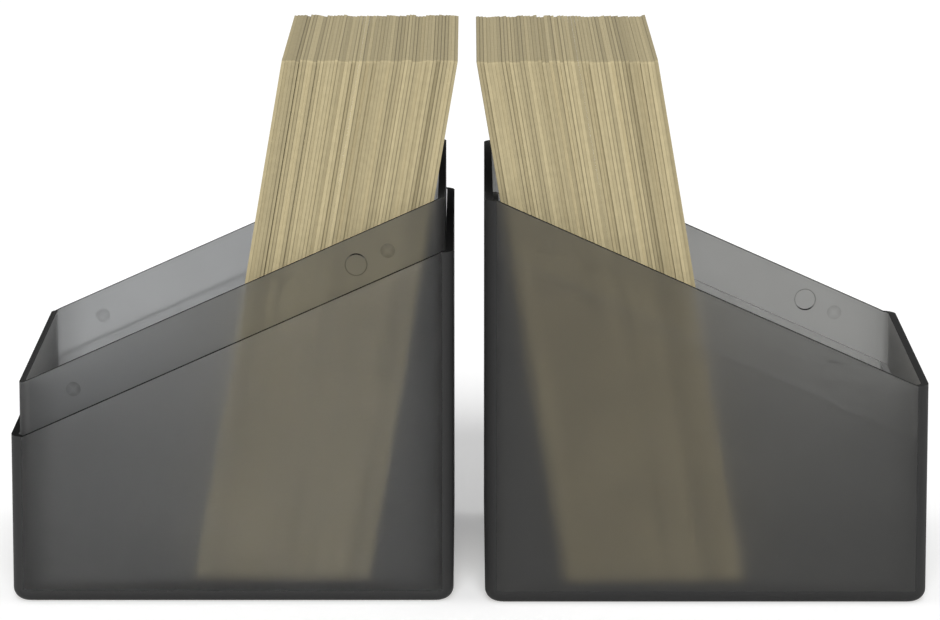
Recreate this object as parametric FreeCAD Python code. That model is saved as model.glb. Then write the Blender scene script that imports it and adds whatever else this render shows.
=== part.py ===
import FreeCAD, Part
import math
import os
import random
from collections import namedtuple

os.makedirs("parts", exist_ok=True)

# A two-part card box of smoked translucent plastic, split along a slant, with both halves
# standing open on the table side by side and a leaning deck of sleeved cards in each.
# Millimetres. The origin is on the table, midway between the halves. +X runs from the base
# to the lid, +Y runs along the width of a card, and +Z is up.

# Each half: an outer shell with a thinner liner nested in it.
half_length = 76.0
half_width = 75.0
halves_gap = 5.4
base_set_back = 1.1
closed_height = 99.1
corner_radius = 3.4
bottom_radius = 2.2
shell_wall = 1.35
shell_floor = 1.4
liner_wall = 1.15
liner_floor = 1.35
liner_fit = 0.15

# The slanted rim of the base. The lid's rim is its counterpart.
base_low_rim = 29.05
base_high_rim = 61.05
base_low_flat = 2.1
base_high_flat = 2.1

# The base liner rises above the base rim as a collar, which the lid slides over.
collar_height = 9.15
collar_end_clearance = 0.3

# Snap nubs and locating discs on the collar's long walls, with matching hollows in the lid.
clasp_rise = 4.2
low_nub_from_low_end = 10.9
high_nub_from_high_end = 11.2
disc_from_high_end = 16.6
nub_radius = 1.25
nub_height = 0.3
disc_radius = 1.95
disc_height = 0.3
disc_bevel = 0.2
clasp_clearance = 0.06

# Sleeved cards, which stand on the liner floor and lean towards the high wall. They are as
# wide as the room between the long walls, less a clearance on each side.
card_side_clearance = 1.85
card_length = 91.7
base_card_thickness = 0.575
lid_card_thickness = 0.593
card_spacing = 0.015
card_corner_radius = 0.4
cards_per_packet = 5
packets_per_deck = 10
front_packet_spacing = 0.06
lean_angle = 9.7
base_lean_clearance = 0.53
lid_lean_clearance = 1.13
card_floor_clearance = 0.02
card_uneven_slip = 0.3
card_uneven_side = 0.4
card_jitter = 0.1
longest_flush_run = 3

# Margin by which cutting and joining solids run past the faces that they work on.
overrun = 2.0

liner_inset = shell_wall + liner_fit
room_inset = liner_inset + liner_wall
room_floor = shell_floor + liner_floor
card_width = half_width - 2 * (room_inset + card_side_clearance)
lean = math.radians(lean_angle)

# A half is modelled with x = 0 at the outer face of its low end and x rising to its high end.
Half = namedtuple("Half", "name low_rim high_rim low_flat high_flat card_thickness")
base = Half(
    "base", base_low_rim, base_high_rim, base_low_flat, base_high_flat, base_card_thickness
)
lid = Half(
    "lid",
    closed_height - base_high_rim,
    closed_height - base_low_rim,
    base_high_flat,
    base_low_flat,
    lid_card_thickness,
)


def placed(shape, half):
    """Move a shape from its half's own frame to its place on the table."""
    outer_end = halves_gap / 2 + half_length
    if half is base:
        moved = shape.copy()
        moved.translate(FreeCAD.Vector(-outer_end, base_set_back / 2, 0))
        return moved
    turned = shape.mirror(FreeCAD.Vector(0, 0, 0), FreeCAD.Vector(1, 0, 0))
    turned.translate(FreeCAD.Vector(outer_end, -base_set_back / 2, 0))
    return turned


def rim_points(half, rise):
    """The corners of the rim line, raised by rise: flat, slope, flat."""
    return [
        (0.0, half.low_rim + rise),
        (half.low_flat, half.low_rim + rise),
        (half_length - half.high_flat, half.high_rim + rise),
        (half_length, half.high_rim + rise),
    ]


def rim_height(half, x):
    """Height of the rim line at x, on its slope."""
    slope_length = half_length - half.low_flat - half.high_flat
    share = (x - half.low_flat) / slope_length
    return half.low_rim + share * (half.high_rim - half.low_rim)


def space_above_rim(half, rise):
    """Everything above the rim line raised by rise."""
    rim = rim_points(half, rise)
    ceiling = half.high_rim + collar_height + overrun
    outline = [(-overrun, rim[0][1])] + rim[1:3] + [(half_length + overrun, rim[3][1])]
    outline += [(half_length + overrun, ceiling + overrun), (-overrun, ceiling + overrun)]
    side = -half_width / 2 - overrun
    corners = [FreeCAD.Vector(x, side, z) for x, z in outline]
    face = Part.Face(Part.makePolygon(corners + corners[:1]))
    return face.extrude(FreeCAD.Vector(0, half_width + 2 * overrun, 0))


def rounded_block(half, inset, bottom, edge_radius, foot_radius):
    """A block with rounded upright corners and a rounded foot, inset from the outer faces."""
    ceiling = half.high_rim + collar_height + overrun
    block = Part.makeBox(
        half_length - 2 * inset,
        half_width - 2 * inset,
        ceiling - bottom,
        FreeCAD.Vector(inset, inset - half_width / 2, bottom),
    )
    uprights = [edge for edge in block.Edges if edge.BoundBox.ZLength > overrun]
    block = block.makeFillet(edge_radius, uprights)
    foot = [edge for edge in block.Edges if edge.BoundBox.ZMax < bottom + overrun / 2]
    return block.makeFillet(foot_radius, foot)


def tub(half, inset, wall, bottom, floor, rise):
    """An open tub with an even wall, cut off along the slanted rim."""
    outside = rounded_block(
        half, inset, bottom, corner_radius - inset, max(bottom_radius - inset, wall / 2)
    )
    inside = rounded_block(
        half,
        inset + wall,
        bottom + floor,
        max(corner_radius - inset - wall, wall / 2),
        max(bottom_radius - inset - wall, wall / 2),
    )
    return outside.cut(inside).cut(space_above_rim(half, rise))


def clasp_places():
    """Where the snap nubs and the locating disc sit along the base: two lists of (x, z)."""
    nub_xs = (low_nub_from_low_end, half_length - high_nub_from_high_end)
    disc_xs = (half_length - disc_from_high_end,)
    return [[(x, rim_height(base, x) + clasp_rise) for x in xs] for xs in (nub_xs, disc_xs)]


def nub(x, face, z, radius, height, depth):
    """A shallow dome standing height out of a wall face at y = face, rooted depth inside it."""
    outward = math.copysign(1.0, face)
    ball_radius = (radius ** 2 + height ** 2) / (2 * height)
    ball_centre = face - outward * (ball_radius - height)
    ball = Part.makeSphere(ball_radius, FreeCAD.Vector(x, ball_centre, z))
    post = disc(x, face, z, radius, height, depth, 0.0)
    return ball.common(post)


def disc(x, face, z, radius, height, depth, bevel):
    """A flat round boss standing height out of a wall face, rooted depth inside it."""
    outward = math.copysign(1.0, face)
    boss = Part.makeCylinder(
        radius,
        height + depth,
        FreeCAD.Vector(x, face - outward * depth, z),
        FreeCAD.Vector(0, outward, 0),
    )
    if bevel == 0.0:
        return boss
    tip = face + outward * height
    crown = [edge for edge in boss.Edges if abs(edge.BoundBox.Center.y - tip) < bevel / 2]
    return boss.makeChamfer(bevel, crown[:1])


def outer_shell(half):
    shell = tub(half, 0.0, shell_wall, 0.0, shell_floor, 0.0)
    if half is base:
        return shell
    nubs, discs = clasp_places()
    for side in (-1, 1):
        face = side * (half_width / 2 - shell_wall)
        for x, z in nubs:
            shell = shell.cut(
                nub(
                    half_length - x,
                    face,
                    closed_height - z,
                    nub_radius + clasp_clearance,
                    nub_height - liner_fit + clasp_clearance,
                    overrun,
                )
            )
        for x, z in discs:
            shell = shell.cut(
                disc(
                    half_length - x,
                    face,
                    closed_height - z,
                    disc_radius + clasp_clearance,
                    disc_height,
                    overrun,
                    disc_bevel,
                )
            )
    return shell


def inner_liner(half):
    if half is lid:
        rise = -(collar_height + collar_end_clearance)
        return tub(half, liner_inset, liner_wall, shell_floor, liner_floor, rise)
    liner = tub(half, liner_inset, liner_wall, shell_floor, liner_floor, collar_height)
    nubs, discs = clasp_places()
    for side in (-1, 1):
        face = side * (half_width / 2 - liner_inset)
        root = liner_wall / 2
        for x, z in nubs:
            liner = liner.fuse(nub(x, face, z, nub_radius, nub_height, root))
        for x, z in discs:
            liner = liner.fuse(disc(x, face, z, disc_radius, disc_height, root, disc_bevel))
    return liner


def lean_foot(half):
    """Where the deck's rear face would meet the liner floor, as x in the half's frame."""
    if half is base:
        rear_edge = half_length - room_inset - base_lean_clearance
        edge_height = half.high_rim + collar_height
    else:
        rear_edge = half_length - shell_wall - lid_lean_clearance
        edge_height = half.high_rim
    return rear_edge - (edge_height - room_floor) * math.tan(lean)


def card(x, thickness, side_shift, slip):
    """One leaning card, its lower rear edge at x, slipped sideways and along its own length."""
    plate = Part.makeBox(
        thickness, card_width, card_length, FreeCAD.Vector(-thickness, -card_width / 2, 0)
    )
    corners = [
        edge
        for edge in plate.Edges
        if edge.BoundBox.YLength < thickness and edge.BoundBox.ZLength < thickness
    ]
    plate = plate.makeFillet(card_corner_radius, corners)
    plate.translate(FreeCAD.Vector(0, side_shift, slip))
    plate.rotate(FreeCAD.Vector(0, 0, 0), FreeCAD.Vector(0, 1, 0), lean_angle)
    plate.translate(FreeCAD.Vector(x, 0, room_floor + card_floor_clearance))
    return plate


def uneven_offsets(card_count, seed):
    """How far each card of a deck is slipped sideways and lengthwise: short runs lie flush."""
    uneven = random.Random(seed)
    offsets = []
    while len(offsets) < card_count:
        side_shift = uneven.uniform(-card_uneven_side, card_uneven_side)
        slip = uneven.uniform(0.0, card_uneven_slip)
        for _ in range(uneven.randint(1, longest_flush_run)):
            jitter = uneven.uniform(-card_jitter, card_jitter)
            offsets.append((side_shift + jitter, slip + abs(jitter)))
    return offsets


def card_packets(half, seed):
    """The deck of one half as packets of separate cards, from the front card to the rear one."""
    rear_x = lean_foot(half)
    step = (half.card_thickness + card_spacing) / math.cos(lean)
    front_shift = (front_packet_spacing - card_spacing) / math.cos(lean)
    card_count = packets_per_deck * cards_per_packet
    offsets = uneven_offsets(card_count, seed)
    packets = []
    for packet_index in range(packets_per_deck):
        cards = []
        for place in range(cards_per_packet):
            index = packet_index * cards_per_packet + place
            x = rear_x - (card_count - 1 - index) * step
            if packet_index == 0:
                x -= front_shift
            side_shift, slip = offsets[index]
            cards.append(card(x, half.card_thickness, side_shift, slip))
        packets.append(Part.makeCompound(cards))
    return packets


for half, seed in ((base, 11), (lid, 23)):
    nodes = {
        half.name + "_outer_shell": outer_shell(half),
        half.name + "_inner_liner": inner_liner(half),
    }
    for number, packet in enumerate(card_packets(half, seed), start=1):
        nodes["%s_card_packet_%02d" % (half.name, number)] = packet
    for name, shape in nodes.items():
        placed(shape, half).exportStep("parts/" + name + ".step")
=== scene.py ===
import math
from typing import NamedTuple

import bpy
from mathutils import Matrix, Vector


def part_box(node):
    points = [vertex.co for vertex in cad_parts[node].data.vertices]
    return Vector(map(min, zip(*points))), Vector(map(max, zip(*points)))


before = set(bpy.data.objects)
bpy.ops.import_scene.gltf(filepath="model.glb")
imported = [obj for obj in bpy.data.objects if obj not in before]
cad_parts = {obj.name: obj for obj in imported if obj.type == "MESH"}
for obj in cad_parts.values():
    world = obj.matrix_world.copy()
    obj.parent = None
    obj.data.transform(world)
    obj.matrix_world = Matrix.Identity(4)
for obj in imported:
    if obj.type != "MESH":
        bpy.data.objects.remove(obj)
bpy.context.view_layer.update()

# Camera, in metres and degrees: a long lens from the front, a little above the box.
CAMERA_PLACE = Vector((0.0, -0.8886, 0.2020))
CAMERA_TILT_DOWN = 10.042
CAMERA_LENS_MM = 194.33
CAMERA_SENSOR_MM = 36.0
CAMERA_SHIFT_X = 0.00079
CAMERA_NEAR = 0.01

# Light: a dim even surround and one soft sun from the front, over a pale floor. The floor's glow is
# only for the rays that look at it.
SURROUND = 0.42
KEY_ELEVATION = 40.0
KEY_STRENGTH = 2.64
KEY_SOFTNESS = 24.0
FLOOR_SIZE = 8.0
FLOOR_DROP = 0.0001
FLOOR_COLOR = (0.9, 0.9, 0.9, 1.0)
FLOOR_GLOW = 0.2

# The span in which nearly all values of a noise texture lie.
NOISE_SPAN = (0.3, 0.7)

# Smoked plastic: what a wall leaves of the lamps' light, what the bulk leaves, the gloss, and a small
# unevenness in the tint and in the frosting.
LAMP_TINT = (0.98, 0.97, 0.952, 1.0)
BULK_COLOR = (0.02, 0.02, 0.02, 1.0)
PLASTIC_GLOSS = 0.25
MOTTLE_SCALE = 90.0
MOTTLE_DEPTH = 0.03
GRAIN_SCALE = 2600.0
GRAIN_DEPTH = 0.03

# Painted shade: end walls are painted darker than long walls, for how dark they look edge-on. They are
# told by how far their normal turns to X.
END_WALL_SHADE = 0.85
SIDE_TURN = (0.5, 0.95)

# Painted shade: nubs, discs and hollows are painted darker than the wall they are on, for the shade
# around their rounded edges. They are told by their roundness, where they are farther from the ends than
# the upright corners reach. Reaches are in metres.
RELIEF_SHADE = 0.45
MOST_ROUND = 0.5
CORNER_REACH = 0.0036

# Painted shade: walls are painted darker towards their ends and foot.
FADE_REACH = 0.008
FOOT_FADE_REACH = 0.005

# Rounded edges at the ends and the foot are made less see-through and given a painted tone, painted shade
# for how dark these edges look. The tone falls a little before the plastic turns solid, so that no pale
# line shows between.
EDGE_REACH = 0.0020
FOOT_EDGE_REACH = 0.0022
EDGE_SHADE_ROUNDNESS = (0.0, 0.05)
SOLID_ROUNDNESS = (0.01, 0.06)

# Rims are also made less see-through and given a painted tone, painted shade for the dark line where the
# halves meet. They face up, and are higher above the table than the floor of the box is.
RIM_TURN = (0.3, 0.7)
RIM_HEIGHT = (0.01, 0.02)

# Cards: the lean of the decks in degrees, and how much one card's edge differs from the next.
CARD_LEAN = 9.7
CARDS_PER_PACKET = 5
CARD_COLOR = (0.405, 0.345, 0.207)
CARD_ROUGHNESS = 0.75
CARD_GLOSS = 0.08
CARD_CONTRAST = 0.12
DRIFT_SCALE = 0.45
DRIFT_DEPTH = 0.05
FIBRE_SCALE = 900.0
FIBRE_DETAIL = 4.0
FIBRE_DEPTH = 0.04

# Painted shade in the grooves between cards: the lowest fifth of the draws gives none. The reach is in
# cards.
GROOVE_SHADE_DEPTH = 0.36
GROOVE_SHADE_DRAWS = (0.2, 1.0)
GROOVE_SHADE_REACH = (0.05, 0.25)


class Grade(NamedTuple):
    """A grade of smoked plastic. Haze is the share of light that it scatters back."""
    density: float
    roughness: float
    ior: float
    haze: float


DARK = Grade(density=130.0, roughness=0.73, ior=1.4, haze=0.018)
PALE = Grade(density=90.0, roughness=0.45, ior=1.16, haze=0.003)


class Graph:
    """A node tree and the kinds of node used here. Most methods return an output socket."""

    def __init__(self, tree):
        self.tree = tree

    def add(self, kind, **settings):
        """A new node with its settings."""
        node = self.tree.nodes.new("ShaderNode" + kind)
        for name, value in settings.items():
            setattr(node, name, value)
        return node

    def feed(self, socket, value):
        """Links an output to the input socket, or sets the socket to a constant."""
        if isinstance(value, bpy.types.NodeSocket):
            self.tree.links.new(value, socket)
        else:
            socket.default_value = value

    def math(self, operation, *values):
        node = self.add("Math", operation=operation)
        for socket, value in zip(node.inputs, values):
            self.feed(socket, value)
        return node.outputs["Value"]

    def vector(self, operation, first, second):
        node = self.add("VectorMath", operation=operation)
        self.feed(node.inputs[0], first)
        self.feed(node.inputs[1], second)
        return node.outputs["Value" if operation == "DOT_PRODUCT" else "Vector"]

    def split(self, vector):
        node = self.add("SeparateXYZ")
        self.feed(node.inputs["Vector"], vector)
        return [node.outputs[axis] for axis in "XYZ"]

    def ramp(self, value, low, high, out_low=0.0, out_high=1.0):
        """The value mapped from low..high to out_low..out_high, with soft ends."""
        node = self.add("MapRange", interpolation_type="SMOOTHSTEP")
        names = ("Value", "From Min", "From Max", "To Min", "To Max")
        for name, given in zip(names, (value, low, high, out_low, out_high)):
            self.feed(node.inputs[name], given)
        return node.outputs["Result"]

    def around_one(self, noise, depth):
        """A noise turned into a factor that goes from 1 - depth to 1 + depth."""
        return self.ramp(noise, *NOISE_SPAN, 1.0 - depth, 1.0 + depth)

    def noise(self, place, scale, detail=2.0):
        node = self.add("TexNoise")
        for name, value in (("Vector", place), ("Scale", scale), ("Detail", detail)):
            self.feed(node.inputs[name], value)
        return node.outputs["Fac"]

    def line_noise(self, place, scale):
        """A noise along one line."""
        node = self.add("TexNoise", noise_dimensions="1D")
        self.feed(node.inputs["W"], place)
        self.feed(node.inputs["Scale"], scale)
        return node.outputs["Fac"]

    def draw(self, number):
        """A random value from 0 to 1 for each different number."""
        node = self.add("TexWhiteNoise", noise_dimensions="1D")
        self.feed(node.inputs["W"], number)
        return node.outputs["Value"]

    def scaled(self, color, factor):
        node = self.add("VectorMath", operation="SCALE")
        self.feed(node.inputs[0], color)
        self.feed(node.inputs["Scale"], factor)
        return node.outputs["Vector"]

    def mixed(self, factor, first, second):
        """The first colour, going to the second as the factor goes from 0 to 1."""
        node = self.add("Mix", data_type="RGBA")
        for name, value in (("Factor", factor), ("A", first), ("B", second)):
            self.feed(node.inputs[name], value)
        return node.outputs["Result"]

    def show(self, surface, volume=None):
        """Makes these the material's surface and inside."""
        output = self.add("OutputMaterial")
        self.feed(output.inputs["Surface"], surface)
        if volume is not None:
            self.feed(output.inputs["Volume"], volume)


def new_material(name):
    material = bpy.data.materials.new(name)
    material.use_nodes = True
    material.node_tree.nodes.clear()
    return material, Graph(material.node_tree)


def gray(tone):
    return (tone, tone, tone, 1.0)


class Spot:
    """A point on one moulding: its place and normal, and where it is in the moulding's box."""

    def __init__(self, graph, node_name):
        coordinates = graph.add("TexCoord")
        self.place = coordinates.outputs["Object"]
        self.normal = coordinates.outputs["Normal"]
        self.low, self.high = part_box(node_name)
        self.end = (self.high[0] - self.low[0]) / 2
        x, _, self.z = graph.split(self.place)
        from_middle = graph.math("SUBTRACT", x, (self.low[0] + self.high[0]) / 2)
        self.off_middle = graph.math("ABSOLUTE", from_middle)
        self.normal_x, _, self.normal_z = graph.split(self.normal)
        self.roundness = roundness(graph, self.normal)


def roundness(graph, normal):
    """0 on faces square to the axes, rising to 0.5 halfway round an edge between two of them."""
    x, y, z = (graph.math("ABSOLUTE", part) for part in graph.split(normal))
    most = graph.math("MULTIPLY", x, y)
    for first, second in ((y, z), (x, z)):
        most = graph.math("MAXIMUM", most, graph.math("MULTIPLY", first, second))
    return most


def outward(graph, spot):
    """1 on the faces turned away from the middle of the box, 0 on the faces of its room."""
    offset = graph.vector("SUBTRACT", spot.place, (spot.low + spot.high) / 2)
    return graph.math("GREATER_THAN", graph.vector("DOT_PRODUCT", offset, spot.normal), 0.0)


def wall_shade(graph, spot, fade):
    """What the tint is multiplied by: painted shade on end walls and on reliefs, a random mottle, and
    painted shade towards the ends and the foot of a wall, where it comes down to fade.
    """
    off_corner = graph.math("LESS_THAN", spot.off_middle, spot.end - CORNER_REACH)
    relief = graph.math("MULTIPLY", spot.roundness, off_corner)
    # Painted shade: end walls darker.
    side = graph.ramp(graph.math("ABSOLUTE", spot.normal_x), *SIDE_TURN, 1.0, END_WALL_SHADE)
    mottle = graph.around_one(graph.noise(spot.place, MOTTLE_SCALE), MOTTLE_DEPTH)
    # Painted shade towards the ends and the foot.
    near_end = graph.ramp(spot.off_middle, spot.end - FADE_REACH, spot.end, 1.0, fade)
    near_foot = graph.ramp(spot.z, spot.low[2], spot.low[2] + FOOT_FADE_REACH, fade, 1.0)
    # Painted shade: reliefs darker than their wall.
    shade = graph.ramp(relief, 0.0, MOST_ROUND, 1.0, RELIEF_SHADE)
    for factor in (side, mottle, graph.math("MINIMUM", near_end, near_foot)):
        shade = graph.math("MULTIPLY", shade, factor)
    return shade


def edge_zone(graph, spot):
    """1 outside along the upright corners and the foot, and 0 at the clasp's nubs and discs."""
    at_end = graph.math("GREATER_THAN", spot.off_middle, spot.end - EDGE_REACH)
    at_foot = graph.math("LESS_THAN", spot.z, spot.low[2] + FOOT_EDGE_REACH)
    return graph.math("MULTIPLY", graph.math("MAXIMUM", at_end, at_foot), outward(graph, spot))


def rim_zone(graph, spot):
    """1 on rims, which face up well above the floor of the box."""
    return graph.math("MULTIPLY", graph.ramp(spot.normal_z, *RIM_TURN), graph.ramp(spot.z, *RIM_HEIGHT))


def passing_lamps(graph, surface):
    """The surface for all rays but shadow rays, which go through and keep LAMP_TINT of the light."""
    clear = graph.add("BsdfTransparent")
    graph.feed(clear.inputs["Color"], LAMP_TINT)
    path = graph.add("LightPath")
    mix = graph.add("MixShader")
    for socket, value in zip(mix.inputs, (path.outputs["Is Shadow Ray"], surface, clear.outputs["BSDF"])):
        graph.feed(socket, value)
    return mix.outputs["Shader"]


def bulk(graph, density):
    """The inside of the plastic, which takes light away with depth."""
    absorb = graph.add("VolumeAbsorption")
    graph.feed(absorb.inputs["Color"], BULK_COLOR)
    graph.feed(absorb.inputs["Density"], density)
    return absorb.outputs["Volume"]


def smoke_plastic(node_name, grade, tint, fade, painted_edge_tone, edge_solid, painted_rim_tone, rim_solid):
    """Smoked see-through plastic with a fine frosted grain.

    tint is what a wall lets through, per colour. The edge and rim tones are painted tones for the rounded
    edges and the rims, painted shade that sets how dark they look, and edge_solid and rim_solid how
    little they let through.
    """
    material, graph = new_material("smoke_" + node_name)
    shader = graph.add("BsdfPrincipled")
    spot = Spot(graph, node_name)
    zone = edge_zone(graph, spot)
    rim = rim_zone(graph, spot)

    # Painted shade: the rounded edges get a painted tone over the shaded tint.
    painted_edge = graph.math("MULTIPLY", graph.ramp(spot.roundness, *EDGE_SHADE_ROUNDNESS), zone)
    color = graph.scaled(tint, wall_shade(graph, spot, fade))
    color = graph.mixed(painted_edge, color, gray(painted_edge_tone))
    # Painted shade: rims get a painted tone of their own.
    graph.feed(shader.inputs["Base Color"], graph.mixed(rim, color, gray(painted_rim_tone)))

    solid_edge = graph.ramp(spot.roundness, *SOLID_ROUNDNESS, 0.0, edge_solid)
    solid_edge = graph.math("MULTIPLY", solid_edge, zone)
    solid = graph.math("MAXIMUM", solid_edge, graph.math("MULTIPLY", rim, rim_solid))
    see_through = graph.math("SUBTRACT", 1.0 - grade.haze, solid)
    graph.feed(shader.inputs["Transmission Weight"], see_through)

    grain = graph.noise(spot.place, GRAIN_SCALE)
    rough = graph.ramp(grain, *NOISE_SPAN, grade.roughness - GRAIN_DEPTH, grade.roughness + GRAIN_DEPTH)
    graph.feed(shader.inputs["Roughness"], graph.math("MAXIMUM", rough, rim))
    graph.feed(shader.inputs["IOR"], grade.ior)
    graph.feed(shader.inputs["Specular IOR Level"], PLASTIC_GLOSS)
    graph.show(passing_lamps(graph, shader.outputs["BSDF"]), bulk(graph, grade.density))
    return material


def base_liner():
    """The base's liner: dark, with a paler painted tone on its upright corners and rims painted black as
    painted shade.
    """
    return smoke_plastic("base_inner_liner", DARK, tint=(0.405, 0.413, 0.418), fade=0.7,
                         painted_edge_tone=0.33, edge_solid=0.0, painted_rim_tone=0.008, rim_solid=0.95)


def base_shell():
    """The base's shell: the pale grade over the dark liner, with nearly solid edges painted dark as
    painted shade.
    """
    return smoke_plastic("base_outer_shell", PALE, tint=(1.0, 1.0, 1.0), fade=0.7,
                         painted_edge_tone=0.042, edge_solid=0.9, painted_rim_tone=0.008, rim_solid=0.95)


def lid_shell():
    """The lid's shell: dark, with partly solid edges and rims, both painted near black as painted shade.
    """
    return smoke_plastic("lid_outer_shell", DARK, tint=(0.358, 0.359, 0.35), fade=0.75,
                         painted_edge_tone=0.03, edge_solid=0.65, painted_rim_tone=0.008, rim_solid=0.95)


def lid_liner():
    """The lid's liner: the pale grade inside the dark shell, with edges painted darker and rims painted
    grey as painted shade, so that the rims hardly show.
    """
    return smoke_plastic("lid_inner_liner", PALE, tint=(1.0, 1.0, 1.0), fade=1.0,
                         painted_edge_tone=0.6, edge_solid=0.0, painted_rim_tone=0.22, rim_solid=0.9)


def packet_front(name, across):
    """Where one packet of cards starts, measured across the leaning cards."""
    return min(vertex.co.dot(across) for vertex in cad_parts[name].data.vertices)


def card_count(graph, place, half, lean):
    """How many cards lie between the start of the second packet and a place, across the cards."""
    across = Vector((math.cos(lean), 0.0, -math.sin(lean)))
    packets = sorted(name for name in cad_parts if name.startswith(half + "_card_packet"))
    start = packet_front(packets[1], across)
    pitch = (packet_front(packets[-1], across) - start) / (len(packets) - 2) / CARDS_PER_PACKET
    depth = graph.vector("DOT_PRODUCT", place, across)
    return graph.math("DIVIDE", graph.math("SUBTRACT", depth, start), pitch)


def card_tone(graph, place, count):
    """The tone of the card edges: each card's own, a slow drift over the deck, and fine fibre."""
    own = graph.ramp(graph.draw(graph.math("FLOOR", count)), 0.0, 1.0, -CARD_CONTRAST, CARD_CONTRAST)
    drift = graph.around_one(graph.line_noise(count, DRIFT_SCALE), DRIFT_DEPTH)
    fibre = graph.around_one(graph.noise(place, FIBRE_SCALE, FIBRE_DETAIL), FIBRE_DEPTH)
    return graph.math("MULTIPLY", graph.math("ADD", own, drift), fibre)


def groove_shade(graph, count):
    """How much shade is painted between one card and the next. Each gap has its own depth of painted
    shade.

    Grooves have halves for numbers, so that they don't draw what the cards beside them draw.
    """
    depth = graph.draw(graph.math("ADD", graph.math("ROUND", count), 0.5))
    depth = graph.ramp(depth, *GROOVE_SHADE_DRAWS, 0.0, GROOVE_SHADE_DEPTH)
    off_groove = graph.math("PINGPONG", count, 0.5)
    return graph.math("MULTIPLY", graph.ramp(off_groove, *GROOVE_SHADE_REACH, 1.0, 0.0), depth)


def card_stock(half, lean):
    """Matt sleeved cards of one deck. lean is positive, in degrees, where they lean to +X."""
    material, graph = new_material(half + "_cards")
    shader = graph.add("BsdfPrincipled")
    place = graph.add("TexCoord").outputs["Object"]
    count = card_count(graph, place, half, math.radians(lean))
    # Painted shade in the gaps between cards.
    lit = graph.math("SUBTRACT", 1.0, groove_shade(graph, count))
    shade = graph.math("MULTIPLY", card_tone(graph, place, count), lit)
    graph.feed(shader.inputs["Base Color"], graph.scaled(CARD_COLOR, shade))
    graph.feed(shader.inputs["Roughness"], CARD_ROUGHNESS)
    graph.feed(shader.inputs["Specular IOR Level"], CARD_GLOSS)
    graph.show(shader.outputs["BSDF"])
    return material


def dress_pieces():
    """Gives each piece of the frame its material. The packets of a deck share one."""
    materials = {
        "base_inner_liner": base_liner(),
        "base_outer_shell": base_shell(),
        "lid_outer_shell": lid_shell(),
        "lid_inner_liner": lid_liner(),
        "base_card_packet": card_stock("base", CARD_LEAN),
        "lid_card_packet": card_stock("lid", -CARD_LEAN),
    }
    for name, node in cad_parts.items():
        node.data.materials.clear()
        node.data.materials.append(materials[name.rstrip("_0123456789")])


def shown_rays(graph):
    """1 for rays that look at the background: camera, glossy and transmission rays."""
    path = graph.add("LightPath")
    shown = path.outputs["Is Camera Ray"]
    for name in ("Is Glossy Ray", "Is Transmission Ray"):
        shown = graph.math("MAXIMUM", shown, path.outputs[name])
    return shown


def floor_material():
    """A plain pale floor, with a faint glow for the rays that look at it."""
    material, graph = new_material("floor")
    shader = graph.add("BsdfDiffuse")
    graph.feed(shader.inputs["Color"], FLOOR_COLOR)
    glow = graph.add("Emission")
    graph.feed(glow.inputs["Strength"], graph.math("MULTIPLY", shown_rays(graph), FLOOR_GLOW))
    both = graph.add("AddShader")
    graph.feed(both.inputs[0], shader.outputs["BSDF"])
    graph.feed(both.inputs[1], glow.outputs["Emission"])
    graph.show(both.outputs["Shader"])
    return material


def add_floor():
    mesh = bpy.data.meshes.new("floor")
    half = FLOOR_SIZE / 2
    corners = [(-half, -half, 0), (half, -half, 0), (half, half, 0), (-half, half, 0)]
    mesh.from_pydata(corners, [], [(0, 1, 2, 3)])
    mesh.materials.append(floor_material())
    floor = bpy.data.objects.new("floor", mesh)
    floor.location.z = -FLOOR_DROP
    bpy.context.collection.objects.link(floor)


def add_light():
    world = bpy.data.worlds.new("world")
    bpy.context.scene.world = world
    world.use_nodes = True
    graph = Graph(world.node_tree)
    background = world.node_tree.nodes["Background"]
    graph.feed(background.inputs["Color"], gray(1.0))
    graph.feed(background.inputs["Strength"], graph.ramp(shown_rays(graph), 0.0, 1.0, SURROUND, 1.0))
    light = bpy.data.lights.new("key", "SUN")
    light.energy = KEY_STRENGTH
    light.angle = math.radians(KEY_SOFTNESS)
    lamp = bpy.data.objects.new("key", light)
    lamp.rotation_euler = (math.radians(90 - KEY_ELEVATION), 0, 0)
    bpy.context.collection.objects.link(lamp)


def add_camera():
    data = bpy.data.cameras.new("camera")
    data.lens = CAMERA_LENS_MM
    data.sensor_width = CAMERA_SENSOR_MM
    data.shift_x = CAMERA_SHIFT_X
    data.clip_start = CAMERA_NEAR
    camera = bpy.data.objects.new("camera", data)
    camera.location = CAMERA_PLACE
    camera.rotation_euler = (math.radians(90 - CAMERA_TILT_DOWN), 0, 0)
    bpy.context.collection.objects.link(camera)
    bpy.context.scene.camera = camera


dress_pieces()
add_floor()
add_light()
add_camera()
bpy.context.scene.view_settings.view_transform = "Standard"
